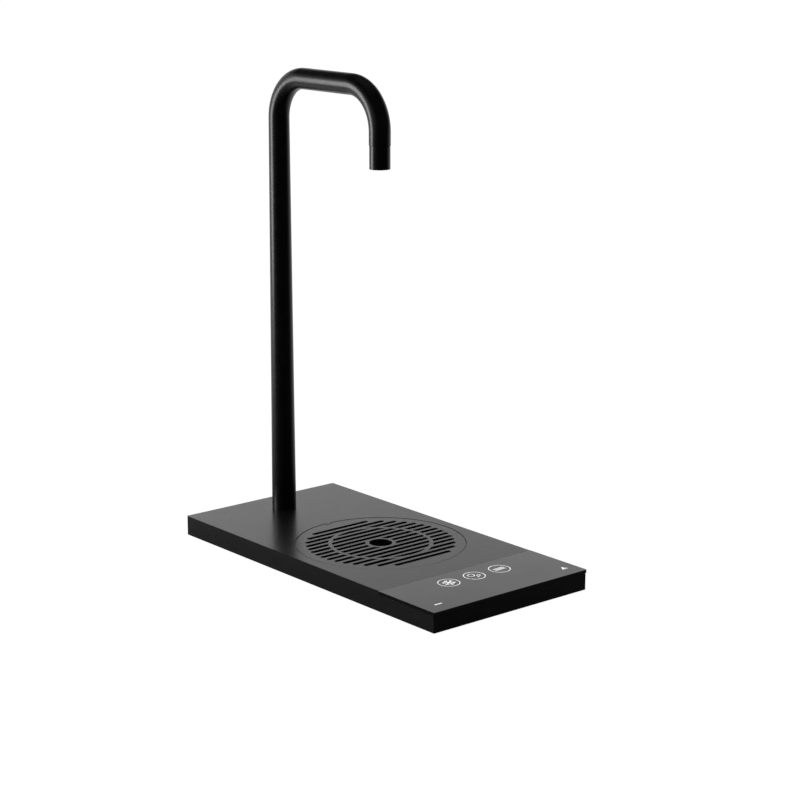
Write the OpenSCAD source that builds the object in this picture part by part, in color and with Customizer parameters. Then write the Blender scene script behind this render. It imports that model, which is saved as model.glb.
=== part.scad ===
// Chilled water tap: a low base with a touch panel, a drip grille over a plumbed tray
// and a tapered swan neck that carries three water lines to one spout.
// Millimetres, +Z up, front towards -Y, origin at the middle of the base on the worktop.

/* [Layout of the base] */
// Depth of the touch panel, front to back
panel_l = 61.5; // [56:0.5:80]
// Land between the touch panel and the drip opening
front_land = 22.3; // [18:0.1:50]
// Diameter of the drip grille
grille_d = 132.6; // [120:0.2:170]
// Seam between the grille and the edge of its opening
grille_seam = 0.4; // [0.3:0.05:1]
// Distance from the spout's axis back to the riser's axis
reach = 124.5; // [115:0.5:180]
// Land from the riser's axis to the back edge
back_land = 31; // [24:0.5:60]
// Width of the tray's fixing flange outside the drip opening
flange_w = 4; // [3.8:0.1:7]

/* [Base housing] */
// Height of the base over the worktop
base_h = 16; // [15.6:0.1:22]
// Thickness of the side walls
wall_t = 4; // [3.2:0.1:6]
// Thickness of the top
top_t = 3; // [2.5:0.1:4]
// Radius of the upright corners
corner_r = 0.8; // [0.3:0.1:3]
// Thickness of the shelf that carries the touch panel
shelf_t = 3; // [2.4:0.1:3.2]
// Thickness of the bottom plate
plate_t = 2; // [1.6:0.1:2.2]
// Height of the bottom plate's underside over the worktop
plate_z = 1; // [0.6:0.1:1.2]

/* [Worktop seal] */
// Width of the seal's bead
seal_w = 2; // [1.2:0.1:2.4]
// Depth of the seal's groove in the housing's rim
seal_groove = 1; // [0.6:0.1:1.6]
// How far the seal stands out of its groove
seal_proud = 0.3; // [0.2:0.05:0.6]

/* [Touch panel] */
// Thickness of the panel
panel_t = 2.5; // [2:0.1:3]
// Overhang of the panel over the housing's front and sides
panel_over = 0.4; // [0:0.1:1]
// Thickness of the adhesive frame
tape_t = 0.3; // [0.2:0.05:0.5]
// Distance between neighbouring icons
icon_pitch = 25.1; // [20:0.1:34]
// Sideways offset of the row of icons
icon_shift = 1.5; // [-4:0.1:4]
// Distance of the icons from the panel's back edge
icon_inset = 18.2; // [16:0.1:39.5]
// Diameter of an icon's light guide
icon_d = 15; // [12:0.5:18]
// Distance of the indicators from the panel's front edge
indicator_inset = 13.4; // [11.6:0.1:16]
// Distance of the indicators from the panel's sides
indicator_edge = 13; // [12.6:0.1:30]

/* [Drip grille] */
// Thickness of the grille
grille_t = 2.5; // [2:0.1:2.8]
// Number of slot rows
slot_rows = 15; // [9:2:15]
// Distance between slot rows
slot_pitch = 7.2; // [6:0.1:7.4]
// Width of a slot
slot_w = 3.8; // [2:0.1:4.2]
// Solid rim outside the slots
grille_rim = 7.8; // [6.4:0.1:9]
// Inner radius of the ring that crosses the slots
ring_r = 37.8; // [30:0.1:45]
// Width of the ring
ring_w = 3.2; // [2:0.1:5]
// Radius of the hole in the middle
hub_r = 9; // [6:0.1:12]
// Width of the hub's ring
hub_w = 3; // [2:0.1:5]
// Width of the locating key
key_w = 5.4; // [3:0.1:6]
// Length of the locating key
key_l = 2.7; // [2:0.1:4]

/* [Drip tray] */
// Wall thickness of the tray
tray_t = 1.6; // [1.2:0.1:2]
// Thickness of the tray's flange
flange_t = 1.5; // [1.2:0.1:2]
// Thickness of the gasket on the flange
gasket_t = 0.8; // [0.5:0.1:1]
// Fall of the tray's floor towards the drain
tray_fall = 1; // [0.4:0.1:2]
// Radius of the drain's hose socket
drain_r = 5.9; // [4:0.1:7]
// Wall round the drain's socket
drain_wall = 3.1; // [2.4:0.1:5]
// Thickness of the drain strainer
strainer_t = 0.8; // [0.6:0.1:1]

/* [Swan neck] */
// Diameter of the riser at its foot
neck_foot_d = 19.6; // [18:0.1:24]
// Diameter of the arm and the drop
neck_d = 16.5; // [15:0.1:18]
// Wall thickness of the neck
neck_wall = 1.1; // [0.9:0.05:1.2]
// Radius of both bends, at the centreline
bend_r = 33; // [24:0.5:50]
// Height of the spout's tip over the base
spout_clear = 290.8; // [180:0.1:340]
// Straight length of the drop above the nozzle
drop_l = 9.8; // [8:0.1:40]
// Diameter of the threaded spigot under the riser
spigot_d = 15; // [14.6:0.1:15.6]
// Wall thickness of the spigot
spigot_wall = 1.2; // [1:0.05:1.3]

/* [Nozzle] */
// Length of the nozzle sleeve
sleeve_l = 17.7; // [16:0.1:24]
// Step from the neck's surface down to the sleeve's
sleeve_step = 0.3; // [0:0.05:0.5]
// Seam between the neck's end and the sleeve
sleeve_seam = 0.2; // [0.1:0.05:0.4]
// Running clearance of the sleeve on the nipple
sleeve_clear = 0.08; // [0.03:0.01:0.1]
// Thickness of the flow straightener
straightener_t = 3; // [2:0.1:4]

/* [Water lines] */
// Outside diameter of a water tube
line_d = 4; // [3.6:0.05:4.1]
// Wall thickness of a water tube
line_wall = 0.75; // [0.5:0.05:0.9]
// Clearance of a supply tube in its socket
line_clear = 0.05; // [0.02:0.01:0.1]

/* [Fixings] */
// Radius of the tapped hole in a fixing insert
insert_r = 2.5; // [2:0.1:3]
// Length of a fixing insert
insert_l = 10; // [6:0.5:10]
// Radius of the control socket's bore
socket_r = 4.2; // [3:0.1:5]
// Depth of the control socket's bore
socket_l = 7; // [5:0.1:7.4]

/* [Hidden] */
$fn = 96;

// Colours
black_satin = "#1c1d1f";
black_gloss = "#141517";
black_rubber = "#26272a";
steel = "#b4b8bb";
brass = "#c3a45a";
board_green = "#1f5a3a";
clear_plastic = "#dfe6ea";
white_plastic = "#e9e9e6";

// General clearances
fit_gap = 0.3;
slip = 0.1;
screw_room = 0.15;
hole_room = 0.2;
over = 1;
eps = 0.01;

// Plan: widths and places across the base
opening_r = grille_d / 2 + grille_seam;
flange_r = opening_r + flange_w;
inner_x = flange_r + fit_gap;
base_x = inner_x + wall_t;
base_l = panel_l + front_land + opening_r + reach + back_land;
panel_front = -base_l / 2;
joint_y = panel_front + panel_l;
grille_y = joint_y + front_land + opening_r;
riser_y = grille_y + reach;
back_y = base_l / 2;
house_front = panel_front + panel_over;
inner_front = house_front + wall_t;
inner_back = back_y - wall_t;

// Heights
top_under = base_h - top_t;
panel_z = base_h - panel_t;
shelf_z = panel_z - tape_t;
shelf_under = shelf_z - shelf_t;
plate_top = plate_z + plate_t;

// Shelf, window and circuit board under the touch panel
shelf_lap = 3;
shelf_back = joint_y + shelf_lap;
window_side = 7;
window_front_rim = 9;
window_back_rim = 6.5;
window_x = base_x - window_side;
window_front = panel_front + window_front_rim;
window_back = joint_y - window_back_rim;
board_lap = 4.3;
board_side = 5.5;
board_x = inner_x - board_side;
board_front = window_front - board_lap;
board_back = window_back + board_lap;
board_t = 1.6;
board_z = shelf_under - board_t;
board_screw_r = 1;
board_screw_head_r = 1.9;
board_screw_head_h = 1.4;
board_screw_grip = 2;
board_screw_in = 15;
board_screw_x = board_x - board_screw_in;
board_screw_edge = 2.15;
led_w = 2;
led_h = 1;
guide_pocket_r = 2;
indicator_d = 5;
icon_y = joint_y - icon_inset;
indicator_y = panel_front + indicator_inset;
indicator_x = base_x + panel_over - indicator_edge;
icon_x = [for (i = [-1:1]) icon_shift + i * icon_pitch];

// Connector, cable and control socket
plug_x = 30;
plug_w = 14;
plug_l = 8;
plug_in = 4;
plug_back = board_back - plug_in;
plug_under = plate_top + slip / 2;
socket_x = 38;
socket_y = riser_y;
socket_w = 16;
socket_cap = 2.5;
socket_wall = 1.8;
socket_h = socket_l + plate_z - plate_top + socket_cap;
socket_barrel_r = socket_r + socket_wall;
socket_front = socket_y - socket_w / 2;
cable_r = 1.5;
cable_z = plate_top + cable_r + slip;
cable_sides = 8;
plug_lead = 5;
socket_lead = 11;

// Bottom plate screws
plate_screw_r = 1.5;
plate_screw_head_r = 2.8;
plate_screw_head_h = 1.3;
plate_screw_grip = 4;
boss_r = 3.5;
plate_screw_edge = 5;
plate_screw_spread = 0.9;
plate_screw_x = inner_x - plate_screw_edge;
plate_screw_y = [
    inner_front + boss_r + slip,
    grille_y - plate_screw_spread * flange_r,
    grille_y + plate_screw_spread * flange_r,
    inner_back - plate_screw_edge
];

// Fixing inserts
insert_wall = 1.5;
insert_boss_wall = 2.5;
insert_side = 9.5;
insert_shelf_gap = 1;
insert_ahead = 22;
insert_boss_r = insert_r + insert_wall + insert_boss_wall;
insert_x = inner_x - insert_boss_r - insert_side;
insert_y = [shelf_back + insert_boss_r + insert_shelf_gap, riser_y - insert_ahead];

// Drip tray
grille_z = base_h - grille_t;
bowl_under_rim = 1.5;
bowl_r = grille_d / 2 - grille_rim + bowl_under_rim;
bowl_out = bowl_r + tray_t;
rim_r = grille_d / 2 - slip;
flange_top = top_under - gasket_t;
flange_under = flange_top - flange_t;
floor_gap = 0.6;
floor_under = plate_top + floor_gap;
floor_z = floor_under + tray_t;
drain_boss_r = drain_r + drain_wall;
drain_proud = 0.4;
drain_end = plate_z - drain_proud;
strainer_lap = 2.1;
strainer_r = drain_r + strainer_lap;
strainer_gap = 0.2;
strainer_z = floor_z - strainer_t;
strainer_hole_r = 0.8;
tray_screw_r = 1.25;
tray_screw_head_r = 2;
tray_screw_head_h = 1.5;
tray_screw_grip = 1.9;
tray_screw_ring = (rim_r + flange_r) / 2;
tray_screw_angles = [30:60:330];

// Route of the cable in plan; each bend has its angle about the drain's axis
// and its distance outside the tray's bowl, as a multiple of the least one
cable_gap = 8;
cable_bends = [[-60, 2.25], [-36, 1.5], [-18, 1], [18, 1], [36, 1.5], [57, 3.9]];
cable_route = concat(
    [[plug_x, plug_back], [plug_x, plug_back + plug_lead]],
    [for (bend = cable_bends) round_bowl(bend[0], bowl_out + cable_gap * bend[1])],
    [[socket_x, socket_front - socket_lead], [socket_x, socket_front]]
);

// Swan neck
neck_r = neck_d / 2;
foot_r = neck_foot_d / 2;
neck_bore = neck_r - neck_wall;
foot_floor = 3;
spigot_r = spigot_d / 2;
spigot_bore = spigot_r - spigot_wall;
spigot_inset = 0.5;
spigot_end = plate_z + spigot_inset;
flat_depth = 0.6;
spigot_flat = spigot_r - flat_depth;
tip_z = base_h + spout_clear;
drop_end = tip_z + sleeve_l;
bend_z = drop_end + drop_l;
arm_z = bend_z + bend_r;
seal_ring_h = 0.8;
seal_ring_in = 0.5;
seal_ring_r = foot_r - seal_ring_in;
washer_t = 0.8;
washer_w = 5.5;
washer_r = spigot_r + washer_w;
nut_h = 5.5;
nut_wall = 3.5;
nut_across = spigot_d + 2 * nut_wall;
access_room = 3;
access_r = washer_r + access_room;

// Water lines
line_r = line_d / 2;
line_bore = line_r - line_wall;
port_r = line_r + line_clear;
collet_wall = 0.4;
collet_r = port_r + collet_wall;
collet_l = 3;
collet_lip = 0.45;
collet_lip_h = 0.5;
port_edge = 0.35;
line_ring = spigot_bore - port_edge - collet_r;
line_angles = [90, 210, 330];
block_top = base_h + foot_floor;
line_in_block = 7;
port_web = 2;
line_foot = block_top - line_in_block;
port_top = line_foot - port_web;

// Nozzle
nipple_step = 1;
nipple_r = neck_bore - nipple_step;
sleeve_r = neck_r - sleeve_step;
sleeve_bore = nipple_r + sleeve_clear;
sleeve_lip = 1.2;
sleeve_lip_w = 0.8;
core_in = 1;
core_top = bend_z - core_in;
line_in_core = 5.5;
line_top = core_top - line_in_core;
nipple_gap = 0.6;
nipple_end = tip_z + sleeve_lip + straightener_t + nipple_gap;
o_ring_r = 0.5;
o_ring_room = 0.05;
o_ring_ring = nipple_r + o_ring_room + o_ring_r;
o_ring_down = 5;
o_ring_z = drop_end - o_ring_down;
groove_r = o_ring_ring + o_ring_r + o_ring_room;
groove_h = 2 * o_ring_r + fit_gap;
straightener_r = sleeve_bore - sleeve_clear;
jet_r = 0.75;

// Point in plan at an angle and a distance from the drain's axis
function round_bowl(angle, r) = [r * cos(angle), grille_y + r * sin(angle)];

// Rectangle with round corners, centred, in plan
module rounded_rect(w, l, r) {
    square([w - 2 * r, l], center = true);
    square([w, l - 2 * r], center = true);
    for (x = [-1, 1], y = [-1, 1])
        translate([x * (w / 2 - r), y * (l / 2 - r)])
            circle(r);
}

// Block between two opposite corners
module block(low, high) {
    translate(low)
        cube(high - low);
}

// Upright round bar or hole
module bar(r, z0, z1) {
    translate([0, 0, z0])
        cylinder(r = r, h = z1 - z0);
}

// Upright ring
module ring(r_in, r_out, z0, z1) {
    difference() {
        bar(r_out, z0, z1);
        bar(r_in, z0 - eps, z1 + eps);
    }
}

// Same place on the left and the right, at each of the given depths
module at_pairs(x, ys) {
    for (side = [-1, 1], y = ys)
        translate([side * x, y, 0])
            children();
}

// Places of the three water lines round an upright axis at depth y;
// towards says on which side of the axis the first line lies
module at_lines(y, towards) {
    for (a = line_angles)
        translate([line_ring * cos(a), y + towards * line_ring * sin(a), 0])
            children();
}

// Outline of the base in plan, drawn in by a distance
module base_outline(inset) {
    translate([0, (house_front + back_y) / 2])
        rounded_rect(
            2 * (base_x - inset),
            back_y - house_front - 2 * inset,
            max(corner_r - inset, corner_r / 2)
        );
}

// Closed band of the worktop seal in plan, with room on each side
module seal_band(room) {
    seal_inset = (wall_t - seal_w) / 2;
    difference() {
        base_outline(seal_inset - room);
        base_outline(seal_inset + seal_w + room);
    }
}

// Locating key in plan, pointing from the back of the opening to its centre
module key_plan(room) {
    tip = opening_r - key_l + key_w / 2;
    translate([-key_w / 2 - room, tip])
        square([key_w + 2 * room, key_l]);
    translate([0, tip])
        circle(key_w / 2 + room);
}

module base_housing() {
    color(black_satin)
    difference() {
        union() {
            difference() {
                translate([0, 0, seal_proud])
                    linear_extrude(base_h - seal_proud)
                        base_outline(0);
                housing_hollows();
            }
            at_pairs(plate_screw_x, [for (i = [1:3]) plate_screw_y[i]])
                bar(boss_r, plate_top, top_under + eps);
            at_pairs(plate_screw_x, [plate_screw_y[0]])
                bar(boss_r, plate_top, shelf_under + eps);
            at_pairs(insert_x, insert_y)
                bar(insert_boss_r, plate_z, top_under + eps);
            translate([0, grille_y, grille_z])
                linear_extrude(grille_t)
                    intersection() {
                        key_plan(0);
                        circle(opening_r + over);
                    }
        }
        housing_holes();
    }
}

// Spaces inside the housing, the step for the panel and the round opening
module housing_hollows() {
    block([-inner_x, shelf_back, 0], [inner_x, inner_back, top_under]);
    block([-inner_x, inner_front, 0], [inner_x, shelf_back + eps, shelf_under]);
    block(
        [-base_x - over, house_front - over, shelf_z],
        [base_x + over, joint_y + grille_seam / 2, base_h + over]
    );
    block([-window_x, window_front, 0], [window_x, window_back, base_h]);
    translate([0, grille_y, 0])
        bar(opening_r, 0, base_h + over);
    linear_extrude(seal_proud + seal_groove)
        seal_band(0);
}

// Screw holes, insert holes and the riser's seat
module housing_holes() {
    at_pairs(plate_screw_x, plate_screw_y)
        bar(plate_screw_r, plate_top - eps, plate_top + plate_screw_grip + hole_room);
    at_pairs(insert_x, insert_y)
        bar(insert_r + insert_wall, plate_z - eps, plate_z + insert_l);
    at_pairs(board_screw_x, [board_front + board_screw_edge, board_back - board_screw_edge])
        bar(board_screw_r, shelf_under - eps, shelf_under + board_screw_grip + hole_room);
    for (a = tray_screw_angles)
        translate([tray_screw_ring * cos(a), grille_y + tray_screw_ring * sin(a), 0])
            bar(tray_screw_r, top_under - eps, top_under + tray_screw_grip + slip);
    translate([0, riser_y, 0]) {
        difference() {
            bar(spigot_r + slip, top_under - over, base_h + over);
            block(
                [-spigot_d, spigot_flat + slip, 0],
                [spigot_d, spigot_d, base_h + 2 * over]
            );
        }
        bar(seal_ring_r + slip, base_h - seal_ring_h, base_h + over);
    }
}

module bottom_plate() {
    color(steel)
    difference() {
        translate([0, 0, plate_z])
            linear_extrude(plate_t)
                base_outline(wall_t + fit_gap);
        at_pairs(plate_screw_x, plate_screw_y)
            plate_screw_form(fit_gap / 2);
        at_pairs(insert_x, insert_y)
            bar(insert_boss_r + fit_gap, 0, base_h);
        translate([0, grille_y, 0])
            bar(drain_boss_r + fit_gap, 0, base_h);
        translate([0, riser_y, 0])
            bar(access_r, 0, base_h);
        translate([socket_x, socket_y, 0])
            bar(socket_barrel_r + fit_gap, 0, base_h);
    }
}

// Countersunk screw, or its hole in the plate when given room
module plate_screw_form(room) {
    bar(plate_screw_r + room, plate_z - room, plate_top + (room > 0 ? room : plate_screw_grip));
    translate([0, 0, plate_z - room])
        cylinder(
            r1 = plate_screw_head_r + 2 * room,
            r2 = plate_screw_r + room,
            h = plate_screw_head_h + room
        );
}

module bottom_plate_screws() {
    color(steel)
    at_pairs(plate_screw_x, plate_screw_y)
        plate_screw_form(0);
}

module worktop_seal() {
    color(black_rubber)
    linear_extrude(seal_proud + seal_groove)
        seal_band(0);
}

module fixing_inserts() {
    color(brass)
    at_pairs(insert_x, insert_y)
        ring(insert_r, insert_r + insert_wall, plate_z, plate_z + insert_l);
}

module touch_panel() {
    color(black_gloss)
    translate([0, panel_front + panel_l / 2, panel_z])
        linear_extrude(panel_t)
            rounded_rect(2 * (base_x + panel_over), panel_l, corner_r);
}

module panel_tape() {
    tape_inset = 1.5;
    color(black_rubber)
    difference() {
        block(
            [-base_x + tape_inset, house_front + tape_inset, shelf_z],
            [base_x - tape_inset, joint_y - tape_inset, panel_z]
        );
        block(
            [-window_x, window_front, shelf_z - over],
            [window_x, window_back, panel_z + over]
        );
    }
}

module touch_pcb() {
    color(board_green)
    difference() {
        block([-board_x, board_front, board_z], [board_x, board_back, shelf_under]);
        at_pairs(plate_screw_x, [plate_screw_y[0]])
            bar(boss_r + 2 * fit_gap, 0, base_h);
        at_pairs(board_screw_x, [board_front + board_screw_edge, board_back - board_screw_edge])
            bar(board_screw_r + screw_room, 0, base_h);
    }
}

module pcb_screws() {
    color(steel)
    at_pairs(board_screw_x, [board_front + board_screw_edge, board_back - board_screw_edge]) {
        bar(board_screw_r, board_z, shelf_under + board_screw_grip);
        bar(board_screw_head_r, board_z - board_screw_head_h, board_z);
    }
}

// Places of the three icons and of the two indicators
module at_icons() {
    for (x = icon_x)
        translate([x, icon_y, 0])
            children();
}

module at_indicators() {
    for (side = [-1, 1])
        translate([side * indicator_x, indicator_y, 0])
            children();
}

module touch_leds() {
    color(white_plastic) {
        at_icons()
            led();
        at_indicators()
            led();
    }
}

module led() {
    translate([-led_w / 2, -led_w / 2, shelf_under])
        cube([led_w, led_w, led_h]);
}

// Round light guide from the board to the panel, with a pocket over its light
module light_guide(r) {
    difference() {
        bar(r, shelf_under, panel_z);
        bar(guide_pocket_r, shelf_under - eps, shelf_under + led_h + fit_gap);
    }
}

module icon_light_guides() {
    color(clear_plastic)
    at_icons()
        light_guide(icon_d / 2);
}

module indicator_light_guides() {
    color(clear_plastic)
    at_indicators()
        light_guide(indicator_d / 2);
}

module pcb_connector() {
    color(white_plastic)
    block(
        [plug_x - plug_w / 2, plug_back - plug_l, plug_under],
        [plug_x + plug_w / 2, plug_back, board_z]
    );
}

// Direction of the cable's route at point i, in plan
function route_dir(i) =
    let (
        a = cable_route[max(i - 1, 0)],
        b = cable_route[min(i + 1, len(cable_route) - 1)],
        end_a = i == len(cable_route) - 1 ? cable_route[i - 1] : a,
        end_b = i == 0 ? cable_route[1] : b,
        square_end = i == 0 || i == len(cable_route) - 1 ? [0, 1] : end_b - end_a
    )
    square_end / norm(square_end);

// One ring of points round the cable at route point i
function cable_ring(i) =
    let (d = route_dir(i), p = cable_route[i])
    [for (s = [0:cable_sides - 1])
        let (a = 360 * (s + 0.5) / cable_sides)
        [
            p[0] - d[1] * cable_r * cos(a),
            p[1] + d[0] * cable_r * cos(a),
            cable_z + cable_r * sin(a)
        ]
    ];

module control_cable() {
    rings = len(cable_route);
    points = [for (i = [0:rings - 1]) each cable_ring(i)];
    sides = [
        for (i = [0:rings - 2], s = [0:cable_sides - 1])
            let (
                t = (s + 1) % cable_sides,
                low = i * cable_sides,
                high = low + cable_sides
            )
            each [[low + s, high + s, high + t], [low + s, high + t, low + t]]
    ];
    last = (rings - 1) * cable_sides;
    front_cap = [for (s = [1:cable_sides - 2]) [0, s, s + 1]];
    back_cap = [for (s = [1:cable_sides - 2]) [last, last + s + 1, last + s]];
    color(black_rubber)
    polyhedron(points = points, faces = concat(sides, front_cap, back_cap));
}

module control_socket() {
    color(black_rubber)
    translate([socket_x, socket_y, 0])
    difference() {
        union() {
            block(
                [-socket_w / 2, -socket_w / 2, plate_top],
                [socket_w / 2, socket_w / 2, plate_top + socket_h]
            );
            bar(socket_barrel_r, plate_z, plate_top + eps);
        }
        bar(socket_r, plate_z - eps, plate_z + socket_l);
    }
}

// Half section of the tray, turned about the drain's axis
module tray_section() {
    polygon([
        [bowl_r, grille_z],
        [rim_r, grille_z],
        [rim_r, flange_top],
        [flange_r, flange_top],
        [flange_r, flange_under],
        [bowl_out, flange_under],
        [bowl_out, floor_under + tray_fall],
        [drain_boss_r, floor_under],
        [drain_boss_r, drain_end],
        [drain_r, drain_end],
        [drain_r, strainer_z],
        [strainer_r + strainer_gap, strainer_z],
        [strainer_r + strainer_gap, floor_z],
        [bowl_r, floor_z + tray_fall]
    ]);
}

module at_tray_screws() {
    for (a = tray_screw_angles)
        translate([tray_screw_ring * cos(a), tray_screw_ring * sin(a), 0])
            children();
}

module drip_tray() {
    color(black_satin)
    translate([0, grille_y, 0])
    difference() {
        rotate_extrude()
            tray_section();
        at_tray_screws()
            bar(tray_screw_r + screw_room, flange_under - over, flange_top + over);
    }
}

module tray_gasket() {
    color(black_rubber)
    translate([0, grille_y, 0])
    difference() {
        ring(rim_r + fit_gap, flange_r, flange_top, top_under);
        at_tray_screws()
            bar(tray_screw_r + screw_room, flange_top - over, top_under + over);
    }
}

module tray_screws() {
    color(steel)
    translate([0, grille_y, 0])
    at_tray_screws() {
        bar(tray_screw_r, flange_under, top_under + tray_screw_grip);
        bar(tray_screw_head_r, flange_under - tray_screw_head_h, flange_under);
    }
}

module drain_strainer() {
    rows = [[0, 1], [0.41, 6], [0.8, 12]];
    color(steel)
    translate([0, grille_y, strainer_z])
    linear_extrude(strainer_t)
    difference() {
        circle(strainer_r);
        for (row = rows, i = [1:row[1]])
            rotate(360 * i / row[1])
                translate([row[0] * drain_r, 0])
                    circle(strainer_hole_r);
    }
}

// One row of slots in plan, with round ends that touch the solid rim
module slot_row(y) {
    end_r = grille_d / 2 - grille_rim - slot_w / 2;
    half = sqrt(end_r * end_r - y * y);
    translate([0, y]) {
        square([2 * half, slot_w], center = true);
        for (side = [-1, 1])
            translate([side * half, 0])
                circle(slot_w / 2);
    }
}

module drip_grille() {
    first = (slot_rows - 1) / 2;
    color(black_satin)
    translate([0, grille_y, grille_z])
    linear_extrude(grille_t)
    difference() {
        circle(grille_d / 2);
        difference() {
            for (i = [-first:first])
                slot_row(i * slot_pitch);
            difference() {
                circle(ring_r + ring_w);
                circle(ring_r);
            }
            circle(hub_r + hub_w);
        }
        circle(hub_r);
        key_plan(grille_seam);
    }
}

// One stretch of the neck's path as a solid bar of radius r, for the riser given apart:
// both bends, the arm and the drop, offset by inward towards the inside of the bends
module neck_path(r, inward, drop_to) {
    turn = bend_r - inward;
    for (end = [0, 1])
        translate([0, end == 0 ? riser_y - bend_r : grille_y + bend_r, bend_z])
            rotate([90, 0, end == 0 ? 90 : -90])
                rotate_extrude(angle = 90)
                    translate([turn, 0])
                        circle(r);
    translate([0, riser_y - bend_r, arm_z - inward])
        rotate([90, 0, 0])
            cylinder(r = r, h = reach - 2 * bend_r);
    translate([0, grille_y + inward, 0])
        bar(r, drop_to, bend_z);
}

module spout_tube() {
    color(black_satin)
    difference() {
        union() {
            neck_path(neck_r, 0, drop_end);
            translate([0, riser_y, base_h])
                cylinder(r1 = foot_r, r2 = neck_r, h = bend_z - base_h);
            translate([0, riser_y, 0])
                difference() {
                    bar(spigot_r, spigot_end, base_h);
                    block(
                        [-spigot_d, spigot_flat, 0],
                        [spigot_d, spigot_d, base_h - seal_ring_h]
                    );
                }
        }
        neck_path(neck_bore, 0, drop_end - over);
        translate([0, riser_y, block_top])
            cylinder(r1 = foot_r - neck_wall, r2 = neck_bore, h = bend_z - block_top);
        translate([0, riser_y, 0])
            bar(spigot_bore, spigot_end - over, block_top + eps);
    }
}

module riser_seal() {
    color(black_rubber)
    translate([0, riser_y, 0])
        ring(spigot_r + slip, seal_ring_r, base_h - seal_ring_h, base_h);
}

module riser_washer() {
    color(steel)
    translate([0, riser_y, 0])
        ring(spigot_r + slip, washer_r, top_under - washer_t, top_under);
}

module riser_nut() {
    nut_top = top_under - washer_t;
    color(brass)
    translate([0, riser_y, 0])
    difference() {
        translate([0, 0, nut_top - nut_h])
            cylinder(r = nut_across / 2 / cos(30), h = nut_h, $fn = 6);
        bar(spigot_r, nut_top - nut_h - over, nut_top + over);
    }
}

module inlet_block() {
    color(white_plastic)
    difference() {
        translate([0, riser_y, 0])
            bar(spigot_bore, spigot_end, block_top);
        at_lines(riser_y, -1) {
            bar(collet_r, spigot_end - over, spigot_end + collet_l);
            bar(port_r, spigot_end, port_top);
            bar(line_bore, port_top - eps, block_top);
            bar(line_r, line_foot, block_top + over);
        }
    }
}

module inlet_collets() {
    color(brass)
    at_lines(riser_y, -1) {
        ring(port_r, collet_r, spigot_end, spigot_end + collet_l);
        ring(port_r, collet_r + collet_lip, spigot_end - collet_lip_h, spigot_end);
    }
}

// Water tube k, from the inlet block through the neck to the outlet core
module water_tube(k) {
    side = line_ring * cos(line_angles[k]);
    inward = line_ring * sin(line_angles[k]);
    translate([side, 0, 0])
    difference() {
        union() {
            neck_path(line_r, inward, line_top);
            translate([0, riser_y - inward, 0])
                bar(line_r, line_foot, bend_z);
        }
        neck_path(line_bore, inward, line_top - over);
        translate([0, riser_y - inward, 0])
            bar(line_bore, line_foot - over, bend_z);
    }
}

module chilled_water_tube() {
    color("#4f8fd0")
    water_tube(0);
}

module sparkling_water_tube() {
    color("#7cc0a4")
    water_tube(1);
}

module ambient_water_tube() {
    color(white_plastic)
    water_tube(2);
}

module outlet_core() {
    color(black_rubber)
    difference() {
        translate([0, grille_y, 0]) {
            bar(neck_bore, drop_end, core_top);
            bar(nipple_r, nipple_end, drop_end + eps);
        }
        at_lines(grille_y, 1) {
            bar(line_bore, nipple_end - over, core_top);
            bar(line_r, line_top, core_top + over);
        }
    }
}

module nozzle_sleeve() {
    color(black_satin)
    translate([0, grille_y, 0])
    difference() {
        bar(sleeve_r, tip_z, drop_end - sleeve_seam);
        bar(sleeve_bore, tip_z + sleeve_lip, drop_end);
        bar(sleeve_bore - sleeve_lip_w, tip_z - over, drop_end);
        bar(groove_r, o_ring_z - groove_h / 2, o_ring_z + groove_h / 2);
    }
}

module nozzle_o_ring() {
    color(black_rubber)
    translate([0, grille_y, o_ring_z])
    rotate_extrude()
        translate([o_ring_ring, 0])
            circle(o_ring_r);
}

module flow_straightener() {
    rows = [[0, 1], [1 / 3, 6], [2 / 3, 12]];
    color(black_rubber)
    translate([0, grille_y, tip_z + sleeve_lip])
    linear_extrude(straightener_t)
    difference() {
        circle(straightener_r);
        for (row = rows, i = [1:row[1]])
            rotate(360 * i / row[1])
                translate([row[0] * straightener_r, 0])
                    circle(jet_r);
    }
}

base_housing();
bottom_plate();
bottom_plate_screws();
worktop_seal();
fixing_inserts();
touch_panel();
panel_tape();
touch_pcb();
pcb_screws();
touch_leds();
icon_light_guides();
indicator_light_guides();
pcb_connector();
control_cable();
control_socket();
drip_tray();
tray_gasket();
tray_screws();
drain_strainer();
drip_grille();
spout_tube();
riser_seal();
riser_washer();
riser_nut();
inlet_block();
inlet_collets();
chilled_water_tube();
sparkling_water_tube();
ambient_water_tube();
outlet_core();
nozzle_sleeve();
nozzle_o_ring();
flow_straightener();
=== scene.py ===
# %% [markdown]
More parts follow.
